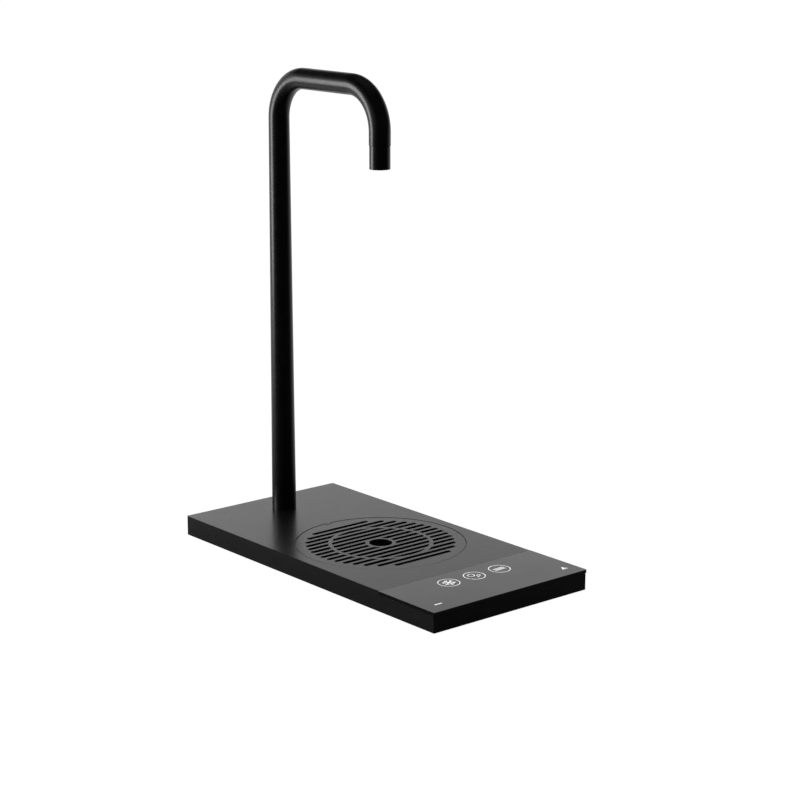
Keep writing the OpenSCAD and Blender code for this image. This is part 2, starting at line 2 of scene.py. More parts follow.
# # A chilled water tap, dressed in Blender
# The imported model gives every rigid piece its place, in metres, with +Z up and -Y to the front.
# This lesson adds what a solid model does not carry: finishes, printed symbols, rounded edges,
# screw heads, a smoother neck, the low face of the grille and the studio.

# %% Load the frame
import math
import bmesh
import bpy
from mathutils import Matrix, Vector


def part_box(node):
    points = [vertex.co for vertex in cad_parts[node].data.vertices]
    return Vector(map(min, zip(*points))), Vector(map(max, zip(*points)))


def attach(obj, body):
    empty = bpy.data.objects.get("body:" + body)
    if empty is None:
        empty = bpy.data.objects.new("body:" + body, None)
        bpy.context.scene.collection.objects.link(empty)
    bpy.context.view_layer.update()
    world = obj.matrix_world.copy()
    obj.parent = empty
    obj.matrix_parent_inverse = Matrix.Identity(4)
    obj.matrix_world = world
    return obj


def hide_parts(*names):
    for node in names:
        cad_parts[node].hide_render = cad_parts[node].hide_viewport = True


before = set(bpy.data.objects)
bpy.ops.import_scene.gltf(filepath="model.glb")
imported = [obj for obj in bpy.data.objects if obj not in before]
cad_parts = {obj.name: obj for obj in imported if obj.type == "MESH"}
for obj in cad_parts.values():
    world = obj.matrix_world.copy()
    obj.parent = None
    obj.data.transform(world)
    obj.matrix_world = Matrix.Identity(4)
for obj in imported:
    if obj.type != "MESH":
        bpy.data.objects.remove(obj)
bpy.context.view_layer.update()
scene = bpy.context.scene

# %% [markdown]
# ## A few small tools
# Hex colours are what a designer writes, but shaders count in linear light, so one function turns
# the first into the second, by the sRGB curve. The next adds a node to any tree, shader or geometry
# alike: it sets the node's properties, then fills each socket with a value or with a link from
# another node. The last three are short names for the nodes that come up most: a step of
# arithmetic, a vector made of its parts, and one range of values laid onto another.

# %% Colours and nodes
def linear(hex_colour):
    parts = [int(hex_colour[i:i + 2], 16) / 255 for i in (1, 3, 5)]
    lit = [((c + 0.055) / 1.055) ** 2.4 if c > 0.04045 else c / 12.92 for c in parts]
    return (*lit, 1.0)


def add(tree, kind, sockets=None, **settings):
    node = tree.nodes.new(kind)
    for name, value in settings.items():
        setattr(node, name, value)
    for key, value in (sockets or {}).items():
        if isinstance(value, bpy.types.NodeSocket):
            tree.links.new(value, node.inputs[key])
        else:
            node.inputs[key].default_value = value
    return node


def maths(tree, operation, *values):
    return add(tree, "ShaderNodeMath", dict(enumerate(values)), operation=operation).outputs[0]


def vector(tree, **parts):
    return add(tree, "ShaderNodeCombineXYZ", parts).outputs[0]


def span(tree, value, start, end):
    ranges = {"From Min": start[0], "From Max": start[1], "To Min": end[0], "To Max": end[1]}
    return add(tree, "ShaderNodeMapRange", {"Value": value, **ranges}).outputs["Result"]


WHITE = linear("#ffffff")
print("mid grey", [round(c, 3) for c in linear("#808080")])

# %% [markdown]
# ## The camera
# The photograph looks down by about fourteen degrees, from the front left, with a long lens.
# The straight lines of the base and the upright riser fix that view: no tilt to the side, no shift.

# %% Camera
LENS = 96.0
SENSOR = 36.0
CAMERA_PLACE = (-1.0055, -1.2254, 0.5184)
DEGREES_DOWN = 13.79
DEGREES_RIGHT = 39.97
lens_data = bpy.data.cameras.new("photo_view")
lens_data.lens = LENS
lens_data.sensor_width = SENSOR
lens_data.sensor_fit = "HORIZONTAL"
camera = bpy.data.objects.new("photo_view", lens_data)
camera.location = CAMERA_PLACE
camera.rotation_euler = (math.radians(90 - DEGREES_DOWN), 0, math.radians(-DEGREES_RIGHT))
scene.collection.objects.link(camera)
scene.camera = camera
print("camera stands", round(camera.location.length, 3), "m from the origin")

# %% [markdown]
# ## The studio
# A product shot on white hides its walls. Light Path tells what kind of ray asks: the camera always
# gets white, and light that falls on matt surfaces comes from a plain grey fill, so the white
# background adds no light to the object. Gloss sees the room as it is lit, from behind: a white
# sweep low down, with a dark ceiling over it, which keeps the top of the arm black, and dim grey
# walls at the sides and in front. One strip of the sweep is a quarter brighter: the far end of
# the base mirrors it. A Float Curve turns a height or a heading into a level of light.

# %% Kinds of ray, levels of light
def ray_kind(tree, *names):
    path = add(tree, "ShaderNodeLightPath").outputs
    seen = path[names[0]]
    for name in names[1:]:
        seen = maths(tree, "MAXIMUM", seen, path[name])
    return seen


def level_curve(tree, value, stops):
    node = add(tree, "ShaderNodeFloatCurve", {"Value": value})
    curve = node.mapping.curves[0]
    for across, level in stops[1:-1]:
        curve.points.new(across, level)
    curve.points[0].location = stops[0]
    curve.points[-1].location = stops[-1]
    for point in curve.points:
        point.handle_type = "VECTOR"
    node.mapping.update()
    return node.outputs[0]


# %% White world with a dim ceiling
# Pairs of degrees above the horizon and level, and of heading along X and share of the gain
CEILING = ((0, 1.0), (19.2, 1.0), (24.5, 0.2), (31, 0.04), (55, 0.05), (90, 0.35))
STRIP = ((0.0, 0.0), (0.3, 0.0), (0.42, 1.0), (0.5, 1.0), (0.62, 0.0), (1.0, 0.0))
STRIP_GAIN = 0.28
# Headings along Y between which the walls fade, and their levels there
FRONT_HEADINGS = (-0.4, 0.2)
FRONT_LEVELS = (0.02, 1.0)
SIDE_HEADINGS = (0.25, 0.55)
SIDE_LEVELS = (0.06, 0.0)
FILL = 0.5

world = bpy.data.worlds.new("studio_white")
world.use_nodes = True
scene.world = world
sky = world.node_tree
sky.nodes.clear()
outward = add(sky, "ShaderNodeTexCoord").outputs["Generated"]
heading = add(sky, "ShaderNodeSeparateXYZ", {0: outward}).outputs
heights = [(math.sin(math.radians(degrees)), level) for degrees, level in CEILING]
ceiling = level_curve(sky, heading["Z"], heights)
strip = level_curve(sky, heading["X"], STRIP)
lit_sweep = maths(sky, "MULTIPLY", ceiling, maths(sky, "MULTIPLY_ADD", strip, STRIP_GAIN, 1.0))
front = span(sky, heading["Y"], FRONT_HEADINGS, FRONT_LEVELS)
sides = span(sky, heading["Y"], SIDE_HEADINGS, SIDE_LEVELS)
room = maths(sky, "MAXIMUM", maths(sky, "MULTIPLY", lit_sweep, front), sides)
sweep = maths(sky, "MAXIMUM", room, ray_kind(sky, "Is Camera Ray"))
soft_fill = add(sky, "ShaderNodeBackground", {"Color": WHITE, "Strength": FILL})
white_wall = add(sky, "ShaderNodeBackground", {"Color": WHITE, "Strength": sweep})
sky_mix = add(sky, "ShaderNodeMixShader",
              {0: ray_kind(sky, "Is Camera Ray", "Is Glossy Ray", "Is Transmission Ray"),
               1: soft_fill.outputs[0], 2: white_wall.outputs[0]})
add(sky, "ShaderNodeOutputWorld", {"Surface": sky_mix.outputs[0]})
print("world for three kinds of ray")

# %% [markdown]
# The floor is white to the camera too, with a thin layer of real paint that takes the shadow.
# In gloss its glow is painted: white behind the tap and falling off towards the front, as a sweep
# that is lit from behind does, and darker where the tap shades it. A ray that heads for the front
# finds that glow painted darker still, a painted reflection of a dim front as a satin floor would
# mirror it. That is what leaves the front of the base black and its left side dark grey.

# %% Paint of the floor
CAMERA_WHITE = 0.97
# The way to the light, the metres along it between which the floor brightens, and the levels there
TO_THE_LIGHT = (0.85, 1.0, 0.0)
SWEEP_METRES = (-0.3, 0.4)
SWEEP_LEVELS = (0.03, 1.0)
# The middle of the tap's own shade, and how it fades with the metres from there
SHADE_CENTRE = (-0.12, 0.04, 0.0)
SHADE_METRES = (0.1, 0.5)
SHADE_LEVELS = (0.1, 1.0)
# How much of a ray heads for the front, and the levels of painted shade in the glow that it finds
RAY_FORWARD = (0.2, 0.65)
FRONT_SHADE_LEVELS = (1.0, 0.15)

floor_paint = bpy.data.materials.new("white_studio_floor")
floor_paint.use_nodes = True
ground = floor_paint.node_tree
ground.nodes.clear()
spot = add(ground, "ShaderNodeTexCoord").outputs["Object"]
back = add(ground, "ShaderNodeVectorMath", {0: spot, 1: TO_THE_LIGHT}, operation="DOT_PRODUCT")
away = add(ground, "ShaderNodeVectorMath", {0: spot, 1: SHADE_CENTRE}, operation="DISTANCE")
incoming = add(ground, "ShaderNodeNewGeometry").outputs["Incoming"]
ray = add(ground, "ShaderNodeSeparateXYZ", {0: incoming})
sweep_light = span(ground, back.outputs["Value"], SWEEP_METRES, SWEEP_LEVELS)
own_shade = span(ground, away.outputs["Value"], SHADE_METRES, SHADE_LEVELS)
# Painted shade: the floor's glow is dimmed for rays that head for the front, as a painted
# reflection of a dim front
front_painted_shade = span(ground, ray.outputs["Y"], RAY_FORWARD, FRONT_SHADE_LEVELS)
falloff = maths(ground, "MULTIPLY", maths(ground, "MULTIPLY", sweep_light, own_shade), front_painted_shade)
in_camera = ray_kind(ground, "Is Camera Ray", "Is Transmission Ray")
glow_level = maths(ground, "MAXIMUM", maths(ground, "MULTIPLY", in_camera, CAMERA_WHITE), falloff)
pale = add(ground, "ShaderNodeBsdfDiffuse", {"Color": linear("#e6e6e6")})
faint = add(ground, "ShaderNodeBsdfDiffuse", {"Color": linear("#404040")})
glow = add(ground, "ShaderNodeEmission", {"Color": WHITE, "Strength": glow_level})
lit_floor = add(ground, "ShaderNodeAddShader", {0: faint.outputs[0], 1: glow.outputs[0]})
floor_mix = add(ground, "ShaderNodeMixShader",
                {0: ray_kind(ground, "Is Camera Ray", "Is Glossy Ray", "Is Transmission Ray"),
                 1: pale.outputs[0], 2: lit_floor.outputs[0]})
add(ground, "ShaderNodeOutputMaterial", {"Surface": floor_mix.outputs[0]})
print("floor paint with", len(ground.nodes), "nodes")

# %% White floor
FLOOR_REACH = 12.0
floor_mesh = bpy.data.meshes.new("studio_floor")
corner_signs = ((-1, -1), (1, -1), (1, 1), (-1, 1))
floor_corners = [(FLOOR_REACH * x, FLOOR_REACH * y, 0) for x, y in corner_signs]
floor_mesh.from_pydata(floor_corners, [], [(0, 1, 2, 3)])
floor_mesh.materials.append(floor_paint)
studio_floor = bpy.data.objects.new("studio_floor", floor_mesh)
scene.collection.objects.link(studio_floor)
scene.view_settings.view_transform = "Standard"
print("floor", 2 * FLOOR_REACH, "m square")

# %% [markdown]
# Two soft boxes make the picture. One stands low behind the tap on its left, and draws the long
# grey line down the riser, along the arm and down the drop. The other hangs high over the front,
# wide and weak, and gives the printed symbols their plain white. Gloss does not see that one, as
# if through a polarising filter, so it leaves no second highlight on the black neck.

# %% Soft boxes
def soft_box(name, place, target, size, watts, in_gloss):
    lamp = bpy.data.lights.new(name, "AREA")
    lamp.shape = "RECTANGLE"
    lamp.size, lamp.size_y = size
    lamp.energy = watts
    box = bpy.data.objects.new(name, lamp)
    box.location = place
    box.rotation_euler = (Vector(target) - Vector(place)).to_track_quat("-Z", "Y").to_euler()
    box.visible_glossy = in_gloss
    scene.collection.objects.link(box)
    print(name, watts, "W over", size, "m")


soft_box("rim_light", place=(-0.885, 0.86, 0.27), target=(0.0, 0.1, 0.32), size=(0.48, 0.68),
         watts=14.5, in_gloss=True)
soft_box("top_light", place=(-0.5, -0.6, 1.9), target=(0.0, 0.0, 0.0), size=(1.6, 1.6),
         watts=14.0, in_gloss=False)

# %% [markdown]
# ## Finishes
# Most surfaces of the tap are one idea with other numbers: a colour and a roughness that drift
# over some millimetres, and a fine grain that breaks the light. So one function builds that
# from real sizes in millimetres, and each finish says what it is and what it gives the eye.
# Everything reads Object coordinates, which stay with the piece when it moves. Noise keeps to the
# middle of its range, so that part of it is spread over the two colours.

# %% A mottled, grained finish
NOISE_RANGE = (0.35, 0.65)


def finish(name, colours, roughness, drift_mm, grain_mm, depth_mm, stretch=1.0, more=()):
    material = bpy.data.materials.new(name)
    material.use_nodes = True
    tree = material.node_tree
    tree.nodes.clear()
    place = add(tree, "ShaderNodeTexCoord").outputs["Object"]
    drawn_out = add(tree, "ShaderNodeMapping", {"Vector": place, "Scale": (1.0, 1 / stretch, 1.0)})
    drift = add(tree, "ShaderNodeTexNoise",
                {"Vector": drawn_out.outputs[0], "Scale": 1000 / drift_mm, "Detail": 3.0})
    ramp = add(tree, "ShaderNodeValToRGB", {"Fac": drift.outputs["Fac"]})
    for stop, place_on_ramp, colour in zip(ramp.color_ramp.elements, NOISE_RANGE, colours):
        stop.position = place_on_ramp
        stop.color = linear(colour)
    gloss = span(tree, drift.outputs["Fac"], NOISE_RANGE, roughness)
    grain = add(tree, "ShaderNodeTexNoise",
                {"Vector": place, "Scale": 1000 / grain_mm, "Detail": 2.0})
    bump = add(tree, "ShaderNodeBump",
               {"Height": grain.outputs["Fac"], "Distance": depth_mm / 1000, "Strength": 1.0})
    shader = add(tree, "ShaderNodeBsdfPrincipled",
                 {"Base Color": ramp.outputs["Color"], "Roughness": gloss,
                  "Normal": bump.outputs["Normal"], **dict(more)})
    add(tree, "ShaderNodeOutputMaterial", {"Surface": shader.outputs["BSDF"]})
    print("finish", name)
    return material


# %% [markdown]
# The base and the grille are cast and cut aluminium under a satin black powder coat. Baked powder
# flows out to a soft skin with a grit of about 0.2 mm, too fine to show here, so it is drawn at
# 0.7 mm. It scatters little light, and mirrors the room only at a low angle. A second, rougher
# layer, the Coat, gives that mirror the haze of powder, so that the riser fades in it. A low IOR
# keeps the haze to low angles, off the upright sides. The neck wears the same powder, without
# the haze and darker.

# %% Powder coats
satin_coat = finish("powder_coat_satin_black", ("#050506", "#070708"), roughness=(0.235, 0.255),
                    drift_mm=9, grain_mm=0.7, depth_mm=0.0002,
                    more={"Specular IOR Level": 0.22, "Coat Weight": 0.9, "Coat Roughness": 0.5,
                          "Coat IOR": 1.15})
matt_coat = finish("powder_coat_matt_black", ("#010101", "#030303"), roughness=(0.28, 0.31),
                   drift_mm=7, grain_mm=0.6, depth_mm=0.0002, more={"Specular IOR Level": 0.2})

# %% [markdown]
# The touch panel is toughened glass, printed black from behind. Its face is as smooth as glass
# comes, so only a faint film of handling drifts over it, some centimetres wide.

# %% Printed glass
panel_glass = finish("toughened_glass_black_print", ("#09090a", "#0b0b0c"), roughness=(0.09, 0.13),
                     drift_mm=24, grain_mm=3, depth_mm=0.0001, more={"Specular IOR Level": 0.3})

# %% [markdown]
# Below and inside are working materials: sheet steel, brass, moulded plastics, rubber, tube and
# a circuit board. They show when the tap is seen from below, or when the grille is lifted.
# Rolled sheet keeps lines of about 0.1 mm along the way it was rolled. They are drawn at 1.5 mm,
# so that they show, and stretched along Y.

# %% Metals
plain_steel = finish("stainless_sheet_rolled", ("#a9acae", "#b6b9bb"), roughness=(0.28, 0.38),
                     drift_mm=1.5, grain_mm=0.5, depth_mm=0.001, stretch=30, more={"Metallic": 1.0})
turned_brass = finish("brass_turned", ("#b89a55", "#c9ab63"), roughness=(0.22, 0.32),
                      drift_mm=3, grain_mm=0.4, depth_mm=0.0015, more={"Metallic": 1.0})

# %% Moulded plastics and rubber
seal_rubber = finish("epdm_rubber_moulded", ("#161617", "#1c1c1d"), roughness=(0.7, 0.8),
                     drift_mm=4, grain_mm=0.5, depth_mm=0.003, more={"Specular IOR Level": 0.25})
tray_plastic = finish("polypropylene_black_moulded", ("#0b0b0c", "#0f0f10"), roughness=(0.5, 0.6),
                      drift_mm=6, grain_mm=0.6, depth_mm=0.003, more={"Specular IOR Level": 0.12})
white_acetal = finish("acetal_white_moulded", ("#dcdbd4", "#e6e5df"), roughness=(0.4, 0.5),
                      drift_mm=5, grain_mm=0.6, depth_mm=0.001)
clear_acrylic = finish("acrylic_clear_moulded", ("#e4eaec", "#eef3f4"), roughness=(0.05, 0.1),
                       drift_mm=4, grain_mm=0.8, depth_mm=0.0004,
                       more={"Transmission Weight": 0.9, "IOR": 1.49})

# %% Circuit board and tubes
board_mask = finish("circuit_board_solder_mask", ("#123f28", "#1b5a39"), roughness=(0.3, 0.42),
                    drift_mm=1.6, grain_mm=0.6, depth_mm=0.004)
blue_tube = finish("polyethylene_tube_blue", ("#3f7fc2", "#4a8cce"), roughness=(0.3, 0.4),
                   drift_mm=8, grain_mm=0.8, depth_mm=0.0008)
green_tube = finish("polyethylene_tube_green", ("#6cb294", "#7cc0a4"), roughness=(0.3, 0.4),
                    drift_mm=8, grain_mm=0.8, depth_mm=0.0008)

# %% Give each CAD node its finish
slot_finish = {
    "satin_black": satin_coat, "neck_black": matt_coat, "panel_black": panel_glass,
    "plain_steel": plain_steel, "brass": turned_brass, "black_rubber": seal_rubber,
    "black_plastic": tray_plastic, "white_plastic": white_acetal, "clear_plastic": clear_acrylic,
    "circuit_board": board_mask, "blue_tube": blue_tube, "green_tube": green_tube,
}
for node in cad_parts.values():
    for holder in node.material_slots:
        holder.material = slot_finish[holder.material.name]
print("finishes given to", len(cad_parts), "nodes")

# %% [markdown]
# ## Softened edges
# No cut edge is perfectly sharp, and powder rounds it further. A Weld joins the solid model's loose
# triangles, a Bevel rounds what is sharper than forty degrees, and Weighted Normal keeps the flat
# faces flat to the light. All three are live modifiers, so the solid's own mesh stays as it is.

# %% Rounded edges on the plain solids
WELD_DISTANCE = 0.000002
SHARP_DEGREES = 40
EDGE_STEPS = 2


def soften(piece, radius_mm):
    weld = piece.modifiers.new("join", "WELD")
    weld.merge_threshold = WELD_DISTANCE
    edge = piece.modifiers.new("edge", "BEVEL")
    edge.width = radius_mm / 1000
    edge.segments = EDGE_STEPS
    edge.limit_method = "ANGLE"
    edge.angle_limit = math.radians(SHARP_DEGREES)
    edge.miter_outer = "MITER_ARC"
    level = piece.modifiers.new("level", "WEIGHTED_NORMAL")
    level.keep_sharp = True
    print(piece.name, "edges rounded by", radius_mm, "mm")


for name, radius_mm in (("base_housing", 0.2), ("touch_panel", 0.25), ("nozzle_sleeve", 0.15)):
    soften(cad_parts[name], radius_mm)

# %% [markdown]
# ## New pieces
# A piece that is drawn here has to say which body carries it when a joint moves. One function does
# that. A second gives a mesh one finish and smooth shading.

# %% Place a piece on its body, give it one finish
def place_piece(name, mesh, body):
    piece = bpy.data.objects.new(name, mesh)
    scene.collection.objects.link(piece)
    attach(piece, body)
    return piece


def smooth_in(mesh, material):
    mesh.materials.append(material)
    for face in mesh.polygons:
        face.use_smooth = True
        face.material_index = 0
    print(mesh.name, len(mesh.polygons), "faces")


# %% [markdown]
# ## The grille's face
# The grille lifts out, and its face lies a hair below the base, so that no finger catches on it.
# In the photograph the near lip hides the seam, and the far wall shows as a thin dark arc.
# The solid model is flush there. A solid's own mesh stays as it is, so a copy of it gets the
# lower face and stands for it: all points at the level of the face go down, the others stay.

# %% Lower the face of a copy
FACE_DROP = 0.00017
GRILLE_EDGE_MM = 0.3
face_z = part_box("drip_grille")[1].z
grille_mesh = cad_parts["drip_grille"].data.copy()
grille_mesh.name = "slotted_grille"
face_points = [point for point in grille_mesh.vertices if point.co.z > face_z - FACE_DROP]
for point in face_points:
    point.co.z -= FACE_DROP
slotted_grille = place_piece("slotted_grille", grille_mesh, "grille")
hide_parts("drip_grille")
soften(slotted_grille, GRILLE_EDGE_MM)
print(len(face_points), "of", len(grille_mesh.vertices), "points lowered")

# %% [markdown]
# ## Running a node tree
# The next pieces repeat, or follow a path, which is work for Geometry Nodes. A tree gets named
# inputs for its sizes. It runs on a carrier object, and the result is kept as a plain mesh, with
# its place in the mesh, so that nothing depends on the tree afterwards.

# %% Trees with named inputs
KINDS = {"m": "NodeSocketFloat", "n": "NodeSocketInt", "v": "NodeSocketVector",
         "paint": "NodeSocketMaterial", "shape": "NodeSocketGeometry"}


def new_tree(name, inputs):
    tree = bpy.data.node_groups.new(name, "GeometryNodeTree")
    for label, kind in inputs.items():
        tree.interface.new_socket(label, in_out="INPUT", socket_type=KINDS[kind])
    tree.interface.new_socket("Result", in_out="OUTPUT", socket_type=KINDS["shape"])
    return tree, add(tree, "NodeGroupInput").outputs


def close_tree(tree, shape, paint):
    real = add(tree, "GeometryNodeRealizeInstances", {"Geometry": shape})
    painted = add(tree, "GeometryNodeSetMaterial", {"Geometry": real.outputs[0], "Material": paint})
    add(tree, "NodeGroupOutput", {0: painted.outputs[0]})


def evaluated_mesh(piece):
    mesh = bpy.data.meshes.new_from_object(
        piece.evaluated_get(bpy.context.evaluated_depsgraph_get()))
    bpy.data.objects.remove(piece)
    return mesh


def grow(name, tree, values, points=()):
    start = bpy.data.meshes.new(name + "_start")
    start.from_pydata(list(points), [], [])
    carrier = bpy.data.objects.new(name + "_carrier", start)
    scene.collection.objects.link(carrier)
    modifier = carrier.modifiers.new("tree", "NODES")
    modifier.node_group = tree
    for item in tree.interface.items_tree:
        if item.in_out == "INPUT" and item.name in values:
            modifier[item.identifier] = values[item.name]
    mesh = evaluated_mesh(carrier)
    mesh.name = name
    print(name, len(mesh.polygons), "faces")
    return mesh


# %% [markdown]
# ## The swan neck
# On the real tap this is one drawn tube, wider at its foot, bent twice on the same former. Four
# corners and a Fillet give that path exactly: straight, bend, arm, bend, drop. A circle is swept
# along it, and its scale falls from the foot's radius to the neck's along the riser alone.
# The solid model's boxes give the sizes.

# %% Measure the neck
BEND_RADIUS = 0.033
WALL = 0.0011
SLEEVE_GAP = 0.0002
neck_low, neck_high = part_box("spout_tube")
sleeve_low, sleeve_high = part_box("nozzle_sleeve")
base_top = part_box("base_housing")[1].z
spout_y = (sleeve_low.y + sleeve_high.y) / 2
foot_radius = neck_high.x
neck_radius = spout_y - neck_low.y
riser_y = neck_high.y - foot_radius
arm_height = neck_high.z - neck_radius
drop_end = sleeve_high.z + SLEEVE_GAP
print("riser at", round(riser_y, 4), "spout at", round(spout_y, 4), "arm at", round(arm_height, 4))

# %% Path of the neck
BEND_STEPS = 40
neck_tree, size = new_tree("neck_sweep", {
    "Riser Y": "m", "Spout Y": "m", "Foot Height": "m", "Arm Height": "m", "Drop Height": "m",
    "Bend Radius": "m", "Foot Radius": "m", "Neck Radius": "m", "Sides": "n", "Paint": "paint"})
corners = [vector(neck_tree, Y=size[y], Z=size[z])
           for y, z in (("Riser Y", "Foot Height"), ("Riser Y", "Arm Height"),
                        ("Spout Y", "Arm Height"), ("Spout Y", "Drop Height"))]
line = add(neck_tree, "GeometryNodeMeshLine", {"Count": len(corners)})
pick = add(neck_tree, "GeometryNodeIndexSwitch", data_type="VECTOR")
pick.index_switch_items.new()
pick.index_switch_items.new()
neck_tree.links.new(add(neck_tree, "GeometryNodeInputIndex").outputs[0], pick.inputs["Index"])
for i, corner in enumerate(corners):
    neck_tree.links.new(corner, pick.inputs[str(i)])
bent = add(neck_tree, "GeometryNodeSetPosition",
           {"Geometry": line.outputs[0], "Position": pick.outputs[0]})
path = add(neck_tree, "GeometryNodeMeshToCurve", {"Mesh": bent.outputs[0]})
smooth_path = add(neck_tree, "GeometryNodeFilletCurve",
                  {"Curve": path.outputs[0], "Count": BEND_STEPS, "Radius": size["Bend Radius"]},
                  mode="POLY")
print("path through", len(corners), "corners")

# %% Sweep the neck
NECK_SIDES = 96
rise = maths(neck_tree, "SUBTRACT", size["Arm Height"], size["Foot Height"])
straight = maths(neck_tree, "SUBTRACT", rise, size["Bend Radius"])
along = add(neck_tree, "GeometryNodeSplineParameter").outputs["Length"]
taper = span(neck_tree, along, (0.0, straight), (size["Foot Radius"], size["Neck Radius"]))
round_section = add(neck_tree, "GeometryNodeCurvePrimitiveCircle",
                    {"Resolution": size["Sides"], "Radius": 1.0})
skin = add(neck_tree, "GeometryNodeCurveToMesh",
           {"Curve": smooth_path.outputs[0], "Profile Curve": round_section.outputs[0],
            "Scale": taper})
close_tree(neck_tree, skin.outputs[0], size["Paint"])
neck_skin = grow("neck_skin", neck_tree, {
    "Riser Y": riser_y, "Spout Y": spout_y, "Foot Height": base_top, "Arm Height": arm_height,
    "Drop Height": drop_end, "Bend Radius": BEND_RADIUS, "Foot Radius": foot_radius,
    "Neck Radius": neck_radius, "Sides": NECK_SIDES, "Paint": matt_coat})

# %% [markdown]
# The sweep is only a skin. Solidify gives it the tube's wall, inwards, so the outside keeps its
# size. Under the foot a threaded spigot passes through the base: it is turned on a lathe, with one
# flat that stops the neck from twisting, so a ring of points is spun and pressed against the flat.

# %% Wall of the tube
tube = bpy.data.objects.new("neck_tube", neck_skin)
scene.collection.objects.link(tube)
thick = tube.modifiers.new("wall", "SOLIDIFY")
thick.thickness = WALL
thick.offset = -1
tube_mesh = evaluated_mesh(tube)
print("tube wall", 1000 * WALL, "mm")


# %% A lathe
def lathe(section, centre, flat_y, steps):
    form = bmesh.new()
    rings = []
    for radius, height, has_flat in section:
        ring = []
        for i in range(steps):
            angle = math.tau * i / steps
            x = radius * math.cos(angle)
            y = radius * math.sin(angle)
            y = min(y, flat_y) if has_flat else y
            ring.append(form.verts.new((centre[0] + x, centre[1] + y, height)))
        rings.append(ring)
    for low, high in zip(rings, rings[1:] + rings[:1]):
        for i in range(steps):
            j = (i + 1) % steps
            form.faces.new((low[i], low[j], high[j], high[i]))
    bmesh.ops.recalc_face_normals(form, faces=form.faces)
    return form


# %% Spigot and neck in one piece
SPIGOT_BORE = 0.0063
SPIGOT_RADIUS = 0.0075
SPIGOT_FLAT = 0.0069
ROUND_PART = 0.0008
PLUG_HEIGHT = 0.003
PLUG_OVERLAP = 0.00005
CREASE_DEGREES = 35

flat_end = base_top - ROUND_PART
plug_top = base_top + PLUG_HEIGHT
plug_radius = foot_radius - WALL + PLUG_OVERLAP
spigot_section = [
    (SPIGOT_BORE, neck_low.z, False), (SPIGOT_RADIUS, neck_low.z, True),
    (SPIGOT_RADIUS, flat_end, True), (SPIGOT_RADIUS, flat_end, False),
    (SPIGOT_RADIUS, base_top, False), (plug_radius, base_top, False),
    (plug_radius, plug_top, False), (SPIGOT_BORE, plug_top, False)]
spigot = lathe(spigot_section, (0.0, riser_y), SPIGOT_FLAT, NECK_SIDES)
spigot.from_mesh(tube_mesh)
neck_mesh = bpy.data.meshes.new("swan_neck")
spigot.to_mesh(neck_mesh)
spigot.free()
smooth_in(neck_mesh, matt_coat)
neck_mesh.set_sharp_from_angle(angle=math.radians(CREASE_DEGREES))
swan_neck = place_piece("swan_neck", neck_mesh, "base")
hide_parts("spout_tube")

# %% [markdown]
# ## Screws under the base
# Eight countersunk screws hold the bottom plate. One screw is built in nodes: a cone for the head,
# a rod for the shank and a cross cut out of the head. It is then placed on eight points, each
# turned by its own amount, because no fitter leaves all slots in line. The seed keeps the turns
# the same.

# %% Head and shank
SCREW_SIDES = 40
screw_tree, size = new_tree("plate_screws", {
    "Seats": "shape", "Head Radius": "m", "Head Height": "m", "Shank Radius": "m", "Length": "m",
    "Slot Width": "m", "Slot Depth": "m", "Seed": "n", "Paint": "paint"})
head = add(screw_tree, "GeometryNodeMeshCone",
           {"Vertices": SCREW_SIDES, "Radius Top": size["Shank Radius"],
            "Radius Bottom": size["Head Radius"], "Depth": size["Head Height"]})
shank = add(screw_tree, "GeometryNodeMeshCylinder",
            {"Vertices": SCREW_SIDES, "Radius": size["Shank Radius"], "Depth": size["Length"]})
shank_up = vector(screw_tree, Z=maths(screw_tree, "MULTIPLY", size["Length"], 0.5))
shank_in = add(screw_tree, "GeometryNodeTransform",
               {"Geometry": shank.outputs[0], "Translation": shank_up})
body = add(screw_tree, "GeometryNodeMeshBoolean",
           {"Mesh 2": head.outputs[0]}, operation="UNION", solver="EXACT")
screw_tree.links.new(shank_in.outputs[0], body.inputs["Mesh 2"])
print("head and shank of", SCREW_SIDES, "sides")

# %% Cross recess and seats
CROSS_SHARE = 1.2
bar_length = maths(screw_tree, "MULTIPLY", size["Head Radius"], CROSS_SHARE)
bar_depth = maths(screw_tree, "MULTIPLY", size["Slot Depth"], 2.0)
across = vector(screw_tree, X=bar_length, Y=size["Slot Width"], Z=bar_depth)
upright = vector(screw_tree, X=size["Slot Width"], Y=bar_length, Z=bar_depth)
bar_x = add(screw_tree, "GeometryNodeMeshCube", {"Size": across})
bar_y = add(screw_tree, "GeometryNodeMeshCube", {"Size": upright})
cut = add(screw_tree, "GeometryNodeMeshBoolean",
          {"Mesh 1": body.outputs[0], "Mesh 2": bar_x.outputs[0]},
          operation="DIFFERENCE", solver="EXACT")
screw_tree.links.new(bar_y.outputs[0], cut.inputs["Mesh 2"])
turn = add(screw_tree, "FunctionNodeRandomValue",
           {1: (0.0, 0.0, math.tau), "Seed": size["Seed"]}, data_type="FLOAT_VECTOR")
set_in = add(screw_tree, "GeometryNodeInstanceOnPoints",
             {"Points": size["Seats"], "Instance": cut.outputs[0], "Rotation": turn.outputs[0]})
close_tree(screw_tree, set_in.outputs[0], size["Paint"])
print("screw tree with", len(screw_tree.nodes), "nodes")

